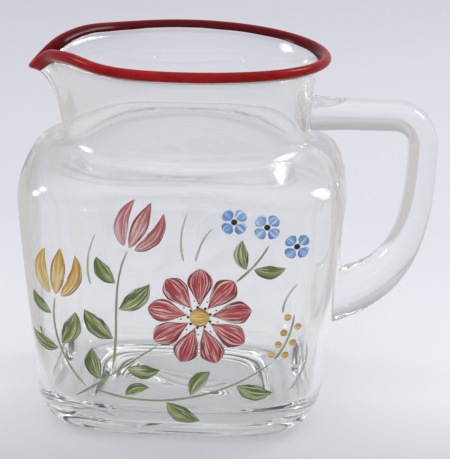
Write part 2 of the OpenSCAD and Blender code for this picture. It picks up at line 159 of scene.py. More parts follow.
def skin(name, rows, poles=None, closed=False):
    """Mesh over a grid of points (row, place round the ring), in millimetres. Rows join to a loop
    if closed, or else fans close them on two poles. Its faces are turned to point outwards."""
    r, n = rows.shape[:2]
    i = np.arange(r if closed else r - 1)[:, None]
    j = np.arange(n)[None, :]
    k, m = (i + 1) % r, (j + 1) % n
    quads = np.stack([i * n + j, i * n + m, k * n + m, k * n + j], -1).reshape(-1, 4)
    points = rows.reshape(-1, 3)
    tris = np.empty((0, 3), int)
    if poles is not None:
        points = np.vstack([points, poles])
        j, m, last = j[0], m[0], (r - 1) * n
        low = np.stack([np.full(n, r * n), m, j], -1)
        high = np.stack([last + j, last + m, np.full(n, r * n + 1)], -1)
        tris = np.vstack([low, high])
    halves = np.vstack([quads[:, [0, 1, 2]], quads[:, [0, 2, 3]], tris])
    a, b, c = (points[halves[:, q]] for q in range(3))
    if np.einsum("ij,ij->i", a, np.cross(b, c)).sum() < 0:
        quads, tris = quads[:, ::-1], tris[:, ::-1]
    mesh = bpy.data.meshes.new(name)
    mesh.from_pydata((points * 0.001).tolist(), [], quads.tolist() + tris.tolist())
    mesh.shade_smooth()
    piece = bpy.data.objects.new(name, mesh)
    bpy.context.scene.collection.objects.link(piece)
    return piece


side_rise = shoulder_z - heel_h
side_dir = np.array([math.sin(wall_lean), math.cos(wall_lean)])
side_low, side_high = np.array([heel_w / 2, heel_h]), np.array([shoulder_w / 2, shoulder_z])
side_curve = [
    side_low,
    side_low + side_pull * side_rise * side_dir,
    side_high - [0, side_top_pull * side_rise],
    side_high,
]
heel_curve = [
    [foot_w / 2, -foot_grind],
    [foot_w / 2 + heel_pull * (heel_w - foot_w), -foot_grind],
    side_low - heel_side_pull * heel_h * side_dir,
    side_low,
]
neck_root = np.array([neck_d / 2, neck_z + root_fillet])
shoulder_rise = neck_z - shoulder_z
slope_dir = np.array([-math.cos(shoulder_slope), math.sin(shoulder_slope)])
shoulder_end = np.array([neck_d / 2 + root_fillet, neck_z - root_fillet * math.tan(shoulder_slope)])
shoulder_curve = [
    side_high,
    side_high + [0, shoulder_pull * shoulder_rise],
    shoulder_end - shoulder_in_pull * (side_high[0] - shoulder_end[0]) * slope_dir,
    shoulder_end,
]
fillet_curve = [
    shoulder_end,
    shoulder_end + fillet_pull * root_fillet * slope_dir,
    neck_root - [0, fillet_pull * root_fillet],
    neck_root,
]
neck_rise, lip_reach = lip_c[1] - neck_root[1], lip_c[0] - neck_root[0]
lip_dir = np.array([math.cos(lip_slope), math.sin(lip_slope)])
lip_under, lip_inside = lip_c + polar(lip_r, lip_from), lip_c + polar(lip_r, lip_to)
neck_curve = [
    neck_root,
    neck_root + [neck_flare * neck_rise, neck_pull * neck_rise],
    lip_under - lip_reach * lip_dir,
    lip_under,
]

heel_line = bezier(heel_curve, steps(heel_steps, end=False))
side_line = bezier(side_curve, steps(side_steps, end=False))
shoulder_t = steps(shoulder_steps, end=False)
shoulder_line = bezier(shoulder_curve, shoulder_t)
fillet_line = bezier(fillet_curve, steps(fillet_steps, end=False))
neck_line = bezier(neck_curve, steps(neck_steps, end=False))
edge_line = lip_c + polar(lip_r, lip_from + (lip_to - lip_from) * steps(edge_steps, end=False))

outer_side = np.vstack([side_line, shoulder_line, fillet_line, neck_root])
# The plan turns smoothly from square to round along the shoulder
turn = shoulder_t**2 * (3 - 2 * shoulder_t)
side_square = np.concatenate([
    np.full(len(side_line), squareness),
    1 / (1 / squareness + (1 / 2 - 1 / squareness) * turn),
    np.full(len(fillet_line) + 1, 2.0),
])
inner_side = shifted(outer_side, -wall_t)
inner_root, inner_low = inner_side[-1], inner_side[0]
inner_neck_curve = [
    lip_inside,
    lip_inside - lip_reach * lip_dir,
    inner_root + [0, neck_pull * neck_rise],
    inner_root,
]
floor_w = foot_w / 2 - wall_t
inner_heel_curve = [
    inner_low,
    inner_low - inner_side_pull * (heel_h - floor_t) * side_dir,
    [floor_w + inner_floor_pull * (inner_low[0] - floor_w), floor_t],
    [floor_w, floor_t],
]
inner_neck_line = bezier(inner_neck_curve, steps(neck_steps, end=False))
inner_heel_line = bezier(inner_heel_curve, steps(inner_heel_steps, end=False))
# The hollow under the foot has a steep edge and a nearly flat middle; the floor rises gently
hollow_r = hollow_w / 2 * steps(hollow_steps)[1:]
hollow_line = np.stack([hollow_r, hollow_h * (1 - (2 * hollow_r / hollow_w) ** hollow_power)], -1)
floor_r = floor_w * steps(floor_steps)[1:][::-1]
floor_line = np.stack([floor_r, floor_t + floor_rise * (1 - (floor_r / floor_w) ** 2)], -1)

body_profile = np.vstack([
    hollow_line, heel_line, outer_side[:-1], neck_line, edge_line,
    inner_neck_line, inner_side[::-1][:-1], inner_heel_line, floor_line,
])
body_square = np.concatenate([
    np.full(len(hollow_line) + len(heel_line), squareness), side_square[:-1],
    np.full(len(neck_line) + len(edge_line) + len(inner_neck_line), 2.0), side_square[::-1][:-1],
    np.full(len(inner_heel_line) + len(floor_line), squareness),
])
body_rows = rings(body_profile, body_square, body_points)

# Slow waves of the floor, left by the chill of the mould: their height, how far the long and the
# cross wave turn for each mm of x and y, and where the long one starts
floor_wave, long_wave, cross_wave, wave_start = 0.9, (0.085, 0.05), (-0.02, 0.07), 0.8


def slumped(x, y, reach):
    """Height of the waves: the sine of the long wave times the cosine of the cross wave, dying out
    towards the wall with 1 - (r / reach)^4."""
    long = np.sin(long_wave[0] * x + long_wave[1] * y + wave_start)
    cross = np.cos(cross_wave[1] * y + cross_wave[0] * x)
    return floor_wave * (long * cross) * np.clip(1 - (np.hypot(x, y) / reach) ** 4, 0, 1)


under, on_floor = body_rows[: len(hollow_line)], body_rows[-len(floor_line) :]
under[..., 2] -= slumped(under[..., 0], under[..., 1], hollow_w / 2)
on_floor[..., 2] += slumped(on_floor[..., 0], on_floor[..., 1], floor_w)
# The foot is ground flat
body_rows[..., 2] = np.maximum(body_rows[..., 2], 0)
middle = slumped(0, 0, floor_w)
floor_poles = [[0, 0, hollow_h - middle], [0, 0, floor_t + floor_rise + middle]]
glass_body = skin("glass_vessel", body_rows, floor_poles)


def linear(code):
    """Linear red, green, blue and alpha of an sRGB hex colour: ((c + 0.055) / 1.055)^2.4."""
    c = [int(code[k : k + 2], 16) / 255 for k in (1, 3, 5)]
    return [x / 12.92 if x <= 0.04045 else ((x + 0.055) / 1.055) ** 2.4 for x in c] + [1.0]


def add(tree, kind, inputs=None, **settings):
    """Adds a shader node with its settings, and fills its inputs with values or links."""
    node = tree.nodes.new("ShaderNode" + kind)
    for key, value in settings.items():
        setattr(node, key, value)
    for key, value in (inputs or {}).items():
        if isinstance(value, bpy.types.NodeSocket):
            tree.links.new(value, node.inputs[key])
        else:
            node.inputs[key].default_value = value
    return node


def material(name):
    """A new material, its node tree, its surface shader and a link to object space."""
    made = bpy.data.materials.new(name)
    made.use_nodes = True
    tree = made.node_tree
    return made, tree, tree.nodes["Principled BSDF"], add(tree, "TexCoord").outputs["Object"]


# Fire-polished soda-lime glass: IOR 1.52, colourless but for a breath of grey-green in its depth.
# The mould's chill leaves waves of 20 to 60 mm, and wear dulls the polish a little here and there.
clear_glass, tree, surface, place = material("fire_polished_soda_lime_glass")
surface.inputs["Transmission Weight"].default_value = 1.0
surface.inputs["IOR"].default_value = 1.52
surface.inputs["Base Color"].default_value = linear("#FAFBFA")
# A faint painted glow over all the glass, standing in for light scattered in the thick corners,
# where it is thrown back and forth many times
surface.inputs["Emission Color"].default_value = linear("#F2F5F6")
surface.inputs["Emission Strength"].default_value = 0.003
wear = add(tree, "TexNoise", {"Vector": place, "Scale": 60.0, "Detail": 4.0})
dulled = add(tree, "MapRange", {"Value": wear.outputs["Fac"], "From Min": 0.45, "From Max": 0.7,
                                "To Min": 0.0, "To Max": 0.025})
tree.links.new(dulled.outputs["Result"], surface.inputs["Roughness"])
waves = add(tree, "TexNoise", {"Vector": place, "Scale": 28.0, "Detail": 1.0})
relief = add(tree, "Bump", {"Height": waves.outputs["Fac"], "Strength": 0.35, "Distance": 0.0012})
tree.links.new(relief.outputs["Normal"], surface.inputs["Normal"])
glass_body.data.materials.append(clear_glass)
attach(glass_body, "root")
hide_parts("glass_body")


# ---- Glass handle -----------------------------------------------------------------------------
# A solid bar of the same glass, gathered, laid on the neck, bent down and pressed to the side
# while soft. Its section is a rounded oblong, and it spreads into a thick pad at the lower root.

bar_z, grip_x, bend_r, root_z = 137.0, 107.4, 13.0, 50.0
handle_t, root_t, handle_depth, bar_flare, flare_reach = 13.4, 28.0, 20.0, 2.0, 9.0
handle_squareness = 2.7
# How far the grip's curve falls straight before it bends in, and how it hooks back to the root
grip_pull, grip_hook = 0.5, 0.08
handle_rings, handle_points, cap_rings = 150, 72, 9
# Space left between the body and what is fused on to it, as in the solids
seat = 0.05
bar_from, bar_to = neck_d / 2 - 2 * wall_t, grip_x - bend_r
root_x = heel_w / 2 - wall_t
grip_fall = bar_z - bend_r - root_z
grip_curve = [
    [grip_x, bar_z - bend_r],
    [grip_x, bar_z - bend_r - grip_pull * grip_fall],
    [grip_x - grip_hook * (grip_x - root_x), root_z + grip_hook * grip_fall],
    [root_x, root_z],
]


def handle_middle(u):
    """Middle line of the handle and half its thickness. u runs 0 to 1 along the bar, 1 to 2 round
    a quarter circle, and 2 to 3 down the grip, whose thickness grows with the cube of the way."""
    u = np.asarray(u, float)
    x = bar_from + (bar_to - bar_from) * np.minimum(u, 1)
    bar = np.stack([x, np.full_like(x, bar_z)], -1)
    bend = np.array([bar_to, bar_z - bend_r]) + polar(bend_r, 90 * (2 - np.clip(u, 1, 2)))
    grip = bezier(grip_curve, np.clip(u - 2, 0, 1))
    line = np.where((u < 1)[..., None], bar, np.where((u < 2)[..., None], bend, grip))
    thick = np.where(u < 1, handle_t + bar_flare * bell(x - neck_d / 2, flare_reach), handle_t)
    thick = np.where(u > 2, handle_t + (root_t - handle_t) * np.clip(u - 2, 0, 1) ** 3, thick)
    return line, thick / 2


def handle_skin(u, a):
    """Point of the handle's skin at u along it and a round it: the middle line, plus half the
    thickness across and half the depth sideways times a rounded oblong of that squareness."""
    (line, half), step = handle_middle(u), 1e-4
    ahead, _ = handle_middle(np.minimum(u + step, 3))
    behind, _ = handle_middle(np.maximum(u - step, 0))
    t = (ahead - behind) / np.linalg.norm(ahead - behind, axis=-1, keepdims=True)
    c, s, n = np.cos(a), np.sin(a), handle_squareness
    r = 1 / (np.abs(c) ** n + np.abs(s) ** n) ** (1 / n)
    across, deep = half * r * c, handle_depth / 2 * r * s
    x, z = line[..., 0] - t[..., 1] * across, line[..., 1] + t[..., 0] * across
    return np.stack([x, -deep + 0 * across, z], -1)


neck_profile = np.vstack([[neck_d / 2, neck_z], neck_line])
neck_profile[:, 1] -= lip_sag * climb(neck_profile[:, 1]) ** dip_power


def outside(p):
    """Distance in front of the wall that carries the handle: the round neck above the shoulder,
    sqrt(r(z)^2 - y^2), and the flat side below it."""
    neck_r = np.interp(p[..., 2], neck_profile[:, 1], neck_profile[:, 0])
    neck = np.sqrt(neck_r**2 - p[..., 1] ** 2) + lean(p[..., 2])
    side = np.interp(p[..., 2], side_line[:, 1], side_line[:, 0])
    return p[..., 0] - seat - np.where(p[..., 2] > shoulder_z, neck, side)


def meeting(inside, free, a):
    """The u at which each line along the skin meets the wall, halved down between one u inside
    the wall and one in the open."""
    low, high = np.full_like(a, inside), np.full_like(a, free)
    for _ in range(40):
        middle = (low + high) / 2
        within = outside(handle_skin(middle, a)) < 0
        low, high = np.where(within, middle, low), np.where(within, high, middle)
    return high


around = steps(handle_points, end=False) * 2 * np.pi
bar_end, grip_end = meeting(0.0, 0.9, around), meeting(3.0, 2.5, around)
way = steps(handle_rings)[:, None]
turns = np.broadcast_to(around, (handle_rings, handle_points))
handle_rows = handle_skin(bar_end * (1 - way) + grip_end * way, turns)


def cap(ring, shrink):
    """Rings drawn in from an end of the handle to its middle, laid on the wall that carries it."""
    centre = (ring.max(0) + ring.min(0)) / 2
    rows = centre + shrink[:, None, None] * (ring - centre)
    rows[..., 0] -= outside(rows)
    return rows


cap_steps = steps(cap_rings)[1:-1]
upper_cap, lower_cap = cap(handle_rows[0], cap_steps), cap(handle_rows[-1], cap_steps[::-1])
handle_rows = np.vstack([upper_cap, handle_rows, lower_cap])
glass_handle = skin("glass_grip", handle_rows, [upper_cap[0].mean(0), lower_cap[-1].mean(0)])
glass_handle.data.materials.append(clear_glass)
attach(glass_handle, "root")
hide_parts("glass_handle")


# ---- Enamel on the lip ------------------------------------------------------------------------
# Red glass enamel, banded on with a loaded brush while the pitcher turns on a wheel, and fired.
# It covers the rounded edge and a little of the inside, and its lower line wavers by half a mm.

coat_in, coat_out = 3.4, 0.8
# How much further down it reaches at the tip of the pour lip, and over how many degrees
coat_tip, coat_tip_spread = 3.0, 30
enamel_t = 0.38
# How deep enamel is sunk into the glass that it is fused to
bed = 0.03
lip_points, coat_rows = 360, 33
# How much the outer and the inner line follow the waver of the hand. This is a sum of waves: the
# height of each in mm, how many of it go round the lip, and where it starts
waver_out, waver_in = 0.4, 0.8
hand_waves = [(0.28, 3, 1.0), (0.17, 7, 0.4), (0.1, 19, 0.0)]

# The way that the coat may take: from coat_low mm below the lip, a hair short of its edge, over the
# edge, and a quarter further in than the inner line, which is the third point from the end. Near
# the lip, a neck curve is 3 * lip_reach long for a whole step
coat_low, coat_steps, hair = 4.8, 18, 1e-3
coat_high, coat_in_steps, inner_line = 1.25, 12, -3
coat_path = np.vstack([
    bezier(neck_curve, 1 - coat_low / (3 * lip_reach) * steps(coat_steps, end=False)[::-1] - hair),
    edge_line,
    bezier(inner_neck_curve, coat_in / (3 * lip_reach) * coat_high * steps(coat_in_steps)),
])
coat_way = np.concatenate([[0], np.cumsum(np.linalg.norm(np.diff(coat_path, axis=0), axis=1))])
coat_normal = shifted(coat_path, 1.0) - coat_path
ring_a = steps(lip_points, end=False) * 2 * np.pi
ring_turn = ring_a + crowding * np.sin(ring_a)
hand = sum(high * np.sin(count * ring_a + start) for high, count, start in hand_waves)
from_tip = np.degrees(np.abs(np.pi - ring_turn))
coat_start = coat_way[coat_steps] - coat_out - coat_tip * bell(from_tip, coat_tip_spread)
coat_start = coat_start + waver_out * hand
coat_stop = coat_way[inner_line] + waver_in * hand
across = steps(coat_rows)
# The enamel lies thick over the edge of the lip and thins out at both of its own edges
swell = enamel_t * (1 - np.abs(2 * across - 1) ** 5)
outer_face = np.stack([across, swell], -1)
inner_face = np.stack([across[::-1][1:-1], np.full(coat_rows - 2, -bed)], -1)
loop = np.vstack([outer_face, inner_face])
way = coat_start + (coat_stop - coat_start) * loop[:, :1]
coat_r, coat_z = (
    np.interp(way, coat_way, coat_path[:, k])
    + loop[:, 1:] * np.interp(way, coat_way, coat_normal[:, k])
    for k in (0, 1)
)
lip_rows = poured(np.stack([coat_r * np.cos(ring_turn), coat_r * np.sin(ring_turn), coat_z], -1))
lip_enamel = skin("lip_band", lip_rows, closed=True)
# How far over the lip each point lies, from 0 at the outer line to 1 at the inner one
over_layer = lip_enamel.data.attributes.new("over_the_lip", "FLOAT", "POINT")
over_layer.data.foreach_set("value", np.repeat(loop[:, 0], lip_points).astype(np.float32))

# Fired red enamel: a glossy lead-glass flux over red pigment, a shade darker where it is thick
red_band, tree, surface, place = material("fired_red_band_enamel")
surface.inputs["IOR"].default_value = 1.6
streaks = add(tree, "TexNoise", {"Vector": place, "Scale": 220.0, "Detail": 5.0, "Roughness": 0.6})
patches = add(tree, "TexNoise", {"Vector": place, "Scale": 45.0, "Detail": 2.0})
thickness = {0: streaks.outputs["Fac"], 1: patches.outputs["Fac"]}
both = add(tree, "Math", thickness, operation="MULTIPLY")
shade = add(tree, "MapRange", {"Value": both.outputs[0], "From Min": 0.12, "From Max": 0.42})
reds = add(tree, "Mix", {"Factor": shade.outputs[0]}, data_type="RGBA")
reds.inputs[6].default_value, reds.inputs[7].default_value = linear("#8E1418"), linear("#B22226")
# Painted shade: inside the lip, where it lies in the shadow of the glass, the red is darkened to a
# deep crimson
over = add(tree, "Attribute", attribute_name="over_the_lip")
inside = add(tree, "MapRange", {"Value": over.outputs["Fac"], "From Min": 0.72, "From Max": 0.52})
deep = add(tree, "Mix", {"Factor": inside.outputs[0], 7: reds.outputs[2]}, data_type="RGBA")
deep.inputs[6].default_value = linear("#580815")
tree.links.new(deep.outputs[2], surface.inputs["Base Color"])
surface.inputs["Specular IOR Level"].default_value = 0.05
dulled = add(tree, "MapRange", {"Value": streaks.outputs["Fac"], "To Min": 0.12, "To Max": 0.24})
tree.links.new(dulled.outputs["Result"], surface.inputs["Roughness"])
relief = add(tree, "Bump", {"Height": streaks.outputs["Fac"], "Strength": 0.3, "Distance": 0.0002})
tree.links.new(relief.outputs["Normal"], surface.inputs["Normal"])
lip_enamel.data.materials.append(red_band)
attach(lip_enamel, "root")
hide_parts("lip_enamel")


# ---- Painted daisy ----------------------------------------------------------------------------
# The spray is painted freehand with flat brushes in glass enamels and fired. Each petal is one
# double-loaded stroke: pale at the heart, deep at the rim, with the lines of the bristles in it.

def spots(places):
    """Points [x, z] of the spray from hundredths of the width and the height of the shoulder."""
    return np.array(places) * [shoulder_w, shoulder_z] / 100


daisy_at, daisy_r, petal_count, centre_r = spots([6.8, 58.9]), 22.6, 9, 4.4
paint_gap = 0.4
stroke_t = 0.3
# Steps along a petal and a stem, and points over and under the section of a stroke
petal_steps, ribbon_steps, over_points, under_points = 33, 49, 17, 7
# How far, in mm, each stroke's brush lines are shifted along and across from those before it
brush_shift = (61.7, 23.3)

front_line = np.vstack([heel_line, outer_side])
front_square = np.concatenate([np.full(len(heel_line), squareness), side_square])


def on_front(x, z, lift):
    """A point [x, z] of the spray on the front wall, -w (1 - |x / w|^n)^(1/n), lifted off it."""
    w = np.interp(z, front_line[:, 1], front_line[:, 0])
    n = np.interp(z, front_line[:, 1], front_square)
    return np.stack([x, -w * (1 - np.abs(x / w) ** n) ** (1 / n) - lift, z], -1)


def eased(n):
    """n numbers from 0 to 1, closer together at both ends: (1 - cos(pi s)) / 2."""
    return (1 - np.cos(np.pi * steps(n))) / 2


def petal(base, angle, length, width, belly, blunt, bend=0.0):
    """Line and half widths of a petal or leaf: half width = w/2 sin(pi s^belly)^blunt, on a line
    that bows sideways by bend 4 s (1 - s)."""
    s = eased(petal_steps)
    bow = polar(bend, angle + 90) * (4 * s * (1 - s))[:, None]
    line = np.asarray(base) + polar(length, angle) * s[:, None] + bow
    return line, width / 2 * np.maximum(0, np.sin(np.pi * s**belly)) ** blunt


def ribbon(curve, from_w, to_w):
    """Line and half widths of a stem or blade along a curve, from one width to another, closed to
    round ends by sqrt(12 s (1 - s))."""
    s = eased(ribbon_steps)
    ends = np.clip(12 * s * (1 - s), 0, 1) ** 0.5
    return bezier(curve, s), (from_w + (to_w - from_w) * s) / 2 * ends


def painted(name, strokes, thick=stroke_t, seed=1, waver=0.04):
    """One piece from many brush strokes. The section of a stroke is a lens on the glass, thick x
    (1 - |q|^3)^0.7 at q from -1 to 1 across it. Its UV map holds the way along (0 to 1) and q, and
    the second map the same ways in mm, shifted for each stroke so that no two are alike."""
    over, under = np.linspace(-1, 1, over_points), np.linspace(1, -1, under_points)[1:-1]
    q = np.concatenate([over, under])
    height = np.concatenate([thick * (1 - np.abs(over) ** 3) ** 0.7, np.zeros(len(under))]) - bed
    n, draw = len(q), np.random.default_rng(seed)
    points, quads, tris, place_uv, brush_uv, start = [], [], [], [], [], 0
    for k, (line, half) in enumerate(strokes):
        t, s = along(line), eased(len(line))
        shake = 1 + waver * np.sin(2 * np.pi * (draw.uniform(1.5, 3.5) * s + draw.uniform()))
        half = half * shake
        x = line[1:-1, :1] - t[1:-1, 1:] * q * half[1:-1, None]
        z = line[1:-1, 1:] + t[1:-1, :1] * q * half[1:-1, None]
        body = on_front(x, z, height)
        ends = on_front(line[[0, -1], 0], line[[0, -1], 1], np.zeros(2))
        rows, length = len(line) - 2, np.linalg.norm(np.diff(line, axis=0), axis=1).sum()
        i, j = np.arange(rows - 1)[:, None], np.arange(n)[None, :]
        m, last = (j + 1) % n, (rows - 1) * n
        ahead = (i + 1) * n
        sides = np.stack([i * n + j, i * n + m, ahead + m, ahead + j], -1)
        quads.append(start + sides.reshape(-1, 4))
        low = np.stack([np.full(n, rows * n), m[0], j[0]], -1)
        high = np.stack([last + j[0], last + m[0], np.full(n, rows * n + 1)], -1)
        tris.append(start + np.vstack([low, high]))
        points += [body.reshape(-1, 3), ends]
        way = np.vstack([np.repeat(s[1:-1], n)[:, None], [[0], [1]]])
        side = np.vstack([np.tile(q, rows)[:, None], [[0], [0]]])
        place_uv.append(np.hstack([way, (side + 1) / 2]))
        along_mm, across_mm = way * length, side * half.max()
        brush_uv.append(np.hstack([along_mm, across_mm]) + k * np.array(brush_shift))
        start += rows * n + 2
    points, quads, tris = np.vstack(points), np.vstack(quads), np.vstack(tris)
    a, b, c = (points[quads[:, w]] for w in (0, 1, 2))
    if np.einsum("ij,ij->i", a - points.mean(0), np.cross(b - a, c - a)).sum() < 0:
        quads, tris = quads[:, ::-1], tris[:, ::-1]
    mesh = bpy.data.meshes.new(name)
    mesh.from_pydata((points * 0.001).tolist(), [], quads.tolist() + tris.tolist())
    mesh.shade_smooth()
    corner = np.empty(len(mesh.loops), int)
    mesh.loops.foreach_get("vertex_index", corner)
    for layer, values in (("stroke", np.vstack(place_uv)), ("brush", np.vstack(brush_uv))):
        ways = values[corner].astype(np.float32).ravel()
        mesh.uv_layers.new(name=layer).uv.foreach_set("vector", ways)
    piece = bpy.data.objects.new(name, mesh)
    bpy.context.scene.collection.objects.link(piece)
    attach(piece, "root")
    return piece


def brushed_enamel(name, heart, body, rim, line, streak_mm=1.0, pale=0.85, halves=0.0):
    """Fired enamel laid by a flat brush: a colour at the stroke's start, one along it, one at its
    rim, and thin lines of a fourth where the bristles parted. streak_mm is the width of a line, and
    halves how much the rim's colour fills one half of the stroke."""
    made, tree, surface, _ = material(name)
    uv = add(tree, "UVMap", uv_map="stroke").outputs[0]
    parts = add(tree, "SeparateXYZ", {0: uv})
    brush = add(tree, "UVMap", uv_map="brush").outputs[0]
    # The lines run twenty times as far along the stroke as across it
    drawn = add(tree, "Mapping", {"Vector": brush, "Scale": (0.05, 1.0, 1.0)}).outputs[0]
    bristles = add(tree, "TexNoise", {"Vector": drawn, "Scale": 1 / streak_mm, "Detail": 2.0,
                                      "Roughness": 0.6})
    soft = add(tree, "TexNoise", {"Vector": drawn, "Scale": 0.3 / streak_mm, "Detail": 1.0})
    # How far the place is from the stroke's middle line, from 0 to 1
    off = add(tree, "Math", {0: parts.outputs["Y"], 1: 0.5}, operation="SUBTRACT")
    off = add(tree, "Math", {0: off.outputs[0]}, operation="ABSOLUTE")
    off = add(tree, "Math", {0: off.outputs[0], 1: 2.0}, operation="MULTIPLY")
    tip = add(tree, "MapRange", {"Value": parts.outputs["X"], "From Min": 0.0, "From Max": 0.75})
    first = add(tree, "Mix", {"Factor": tip.outputs[0]}, data_type="RGBA")
    first.inputs[6].default_value, first.inputs[7].default_value = linear(heart), linear(body)
    mottled = add(tree, "MapRange", {"Value": soft.outputs["Fac"], "From Min": 0.35,
                                     "From Max": 0.65, "To Min": -0.25, "To Max": 0.25})
    edge = add(tree, "Math", {0: off.outputs[0], 1: mottled.outputs[0]}, operation="ADD")
    edge = add(tree, "MapRange", {"Value": edge.outputs[0], "From Min": 0.45, "From Max": 1.0})
    half = add(tree, "MapRange", {"Value": parts.outputs["Y"], "From Min": 0.42, "From Max": 0.6,
                                  "To Max": halves})
    edge = add(tree, "Math", {0: edge.outputs[0], 1: half.outputs[0]}, operation="MAXIMUM")
    second = add(tree, "Mix", {"Factor": edge.outputs[0], 6: first.outputs[2]}, data_type="RGBA")
    second.inputs[7].default_value = linear(rim)
    line_at = bristles.outputs["Fac"]
    parted = add(tree, "MapRange", {"Value": line_at, "From Min": 0.53, "From Max": 0.59,
                                    "To Min": 0.0, "To Max": pale})
    third = add(tree, "Mix", {"Factor": parted.outputs[0], 6: second.outputs[2]}, data_type="RGBA")
    third.inputs[7].default_value = linear(line)
    dark = add(tree, "MapRange", {"Value": line_at, "From Min": 0.4, "From Max": 0.46,
                                  "To Min": 0.6, "To Max": 0.0})
    last = add(tree, "Mix", {"Factor": dark.outputs[0], 6: third.outputs[2]}, data_type="RGBA")
    last.inputs[7].default_value = linear(rim)
    tree.links.new(last.outputs[2], surface.inputs["Base Color"])
    dulled = add(tree, "MapRange", {"Value": line_at, "To Min": 0.25, "To Max": 0.5})
    tree.links.new(dulled.outputs["Result"], surface.inputs["Roughness"])
    relief = add(tree, "Bump", {"Height": line_at, "Strength": 0.5, "Distance": 0.00015})
    tree.links.new(relief.outputs["Normal"], surface.inputs["Normal"])
    surface.inputs["IOR"].default_value = 1.55
    return made


# The petals are as wide as their neighbours allow at their widest place, 0.62 of the way out
petal_from, widest_at = centre_r + paint_gap, 0.62
petal_belly = petal_from + widest_at * (daisy_r - petal_from)
petal_w = 2 * petal_belly * math.tan(math.pi / petal_count) - 2 * paint_gap
petals = [
    petal(daisy_at + polar(petal_from, a), a, daisy_r - petal_from, petal_w, belly=1.7, blunt=0.7)
    for a in 90 + 360 / petal_count * np.arange(petal_count)
]
daisy = painted("daisy_strokes", petals, seed=3, waver=0.03)
daisy.data.materials.append(
    brushed_enamel("fired_red_petal_enamel", "#D46A67", "#BC4143", "#851B21", "#F3DAD6",
                   streak_mm=0.7, pale=0.95)
)
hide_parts("daisy_petals")


def dab(at, r):
    """Round dab of enamel, as a stroke as long as it is wide."""
    return petal(np.asarray(at) - [r, 0], 0, 2 * r, 2 * r, belly=1, blunt=0.5)


daisy_eye = painted("daisy_eye", [dab(daisy_at, centre_r)], thick=0.4, waver=0.02)
daisy_eye.data.materials.append(
    brushed_enamel("fired_yellow_eye_enamel", "#EACB68", "#DEB148", "#B47D28", "#F7EABC",
                   streak_mm=0.8)
)
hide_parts("daisy_centre")


# ---- Tulips -----------------------------------------------------------------------------------
# Two tulips of three strokes each, pink and yellow, each stroke pulled from the stem to the tip.

tulip_len = 22.0


def tulip(at, angle):
    """A middle petal and one on each side, 12 degrees apart from it and bowed outwards. Their
    sizes and places are shares of the tulip's length."""
    w = 0.36 * tulip_len
    sides = [
        petal(at + polar(0.11 * tulip_len, angle + 90 * k), angle + 12 * k, 0.94 * tulip_len,
              0.76 * w, belly=0.8, blunt=0.75, bend=k * 0.15 * tulip_len)
        for k in (-1, 1)
    ]
    return [*sides, petal(at, angle, tulip_len, 0.84 * w, belly=0.9, blunt=0.8)]


stem_w = 1.3
under_daisy = daisy_at + polar(daisy_r + paint_gap, 218)
main_stem = np.vstack([spots([[-29.7, 20.4], [-20.3, 29.1], [-13.5, 37.9]]), under_daisy])


def beside_main(t, side):
    """A point a stem's width beside the main stem."""
    here, ahead = bezier(main_stem, t), bezier(main_stem, t + 0.01)
    d = (ahead - here) / np.linalg.norm(ahead - here)
    return here + side * (stem_w + paint_gap) * np.array([-d[1], d[0]])


left_stem = np.vstack([beside_main(0.14, 1), spots([[-33.8, 35], [-37.8, 50.5], [-35.8, 64.1]])])
tall_stem = np.vstack([beside_main(0.46, 1), spots([[-16.2, 54.4], [-19.6, 71.8], [-14.2, 87.4]])])
# How far above its stem a tulip starts, and which way each one leans, in degrees
tulip_gap, pink_turn, yellow_turn = paint_gap + 1, 66, 84
pink_strokes = tulip(tall_stem[3] + polar(tulip_gap, pink_turn), pink_turn)
pink_tulip = painted("pink_tulip_strokes", pink_strokes, seed=5)
pink_tulip.data.materials.append(
    brushed_enamel("fired_pink_petal_enamel", "#D9A3A1", "#C56E72", "#9C3B43", "#F0D6D3")
)
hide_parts("pink_tulip")
yellow_strokes = tulip(left_stem[3] + polar(tulip_gap, yellow_turn), yellow_turn)
yellow_tulip = painted("yellow_tulip_strokes", yellow_strokes, seed=7)
yellow_tulip.data.materials.append(
    brushed_enamel("fired_yellow_petal_enamel", "#EAD08A", "#E2B850", "#B8852F", "#F6ECC8")
)
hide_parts("yellow_tulip")


# ---- Blue blossoms and their dark eyes --------------------------------------------------------
# Four short dabs of pale blue enamel to a blossom, and a touch of black in the middle of each.

blossom_r = 6.0
blossom_places = spots([[25.7, 99], [16.2, 101], [34.5, 90.3]])
blossom_eye, blossom_dot = 0.26 * blossom_r, 1.35
blossom_w = 0.92 * blossom_r
blossoms = [
    petal(at + polar(blossom_eye, a), a, blossom_r - blossom_eye, blossom_w, belly=1.15, blunt=0.5)
    for at in blossom_places
    for a in (45, 135, 225, 315)
]
blue = painted("blue_blossom_dabs", blossoms, seed=11, waver=0.05)
blue.data.materials.append(
    brushed_enamel("fired_blue_dab_enamel", "#7CACE8", "#92BDEE", "#568CD8", "#E6F0FB")
)
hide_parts("blue_blossoms")

# Black outlining enamel, dotted on with the tip of a liner brush, in three rings round the daisy's
# eye: how far outside the eye, the radius of a dot, and the angle of the first
stamen_rings = [(0.5, 0.62, 20), (2.4, 0.42, 13), (3.6, 0.36, 27)]
stamens = [
    dab(daisy_at + polar(centre_r + out, a), r)
    for out, r, start in stamen_rings
    for a in start + 360 / petal_count * np.arange(petal_count)
]
eyes = [dab(at, blossom_dot) for at in blossom_places]
dots = painted("stamens_and_eyes", stamens + eyes, thick=0.44, seed=13)
black, tree, surface, place = material("fired_black_liner_enamel")
speck = add(tree, "TexNoise", {"Vector": place, "Scale": 900.0, "Detail": 2.0})
soot = add(tree, "Mix", {"Factor": speck.outputs["Fac"]}, data_type="RGBA")
soot.inputs[6].default_value, soot.inputs[7].default_value = linear("#121110"), linear("#2A2624")
tree.links.new(soot.outputs[2], surface.inputs["Base Color"])
surface.inputs["Roughness"].default_value = 0.35
dots.data.materials.append(black)


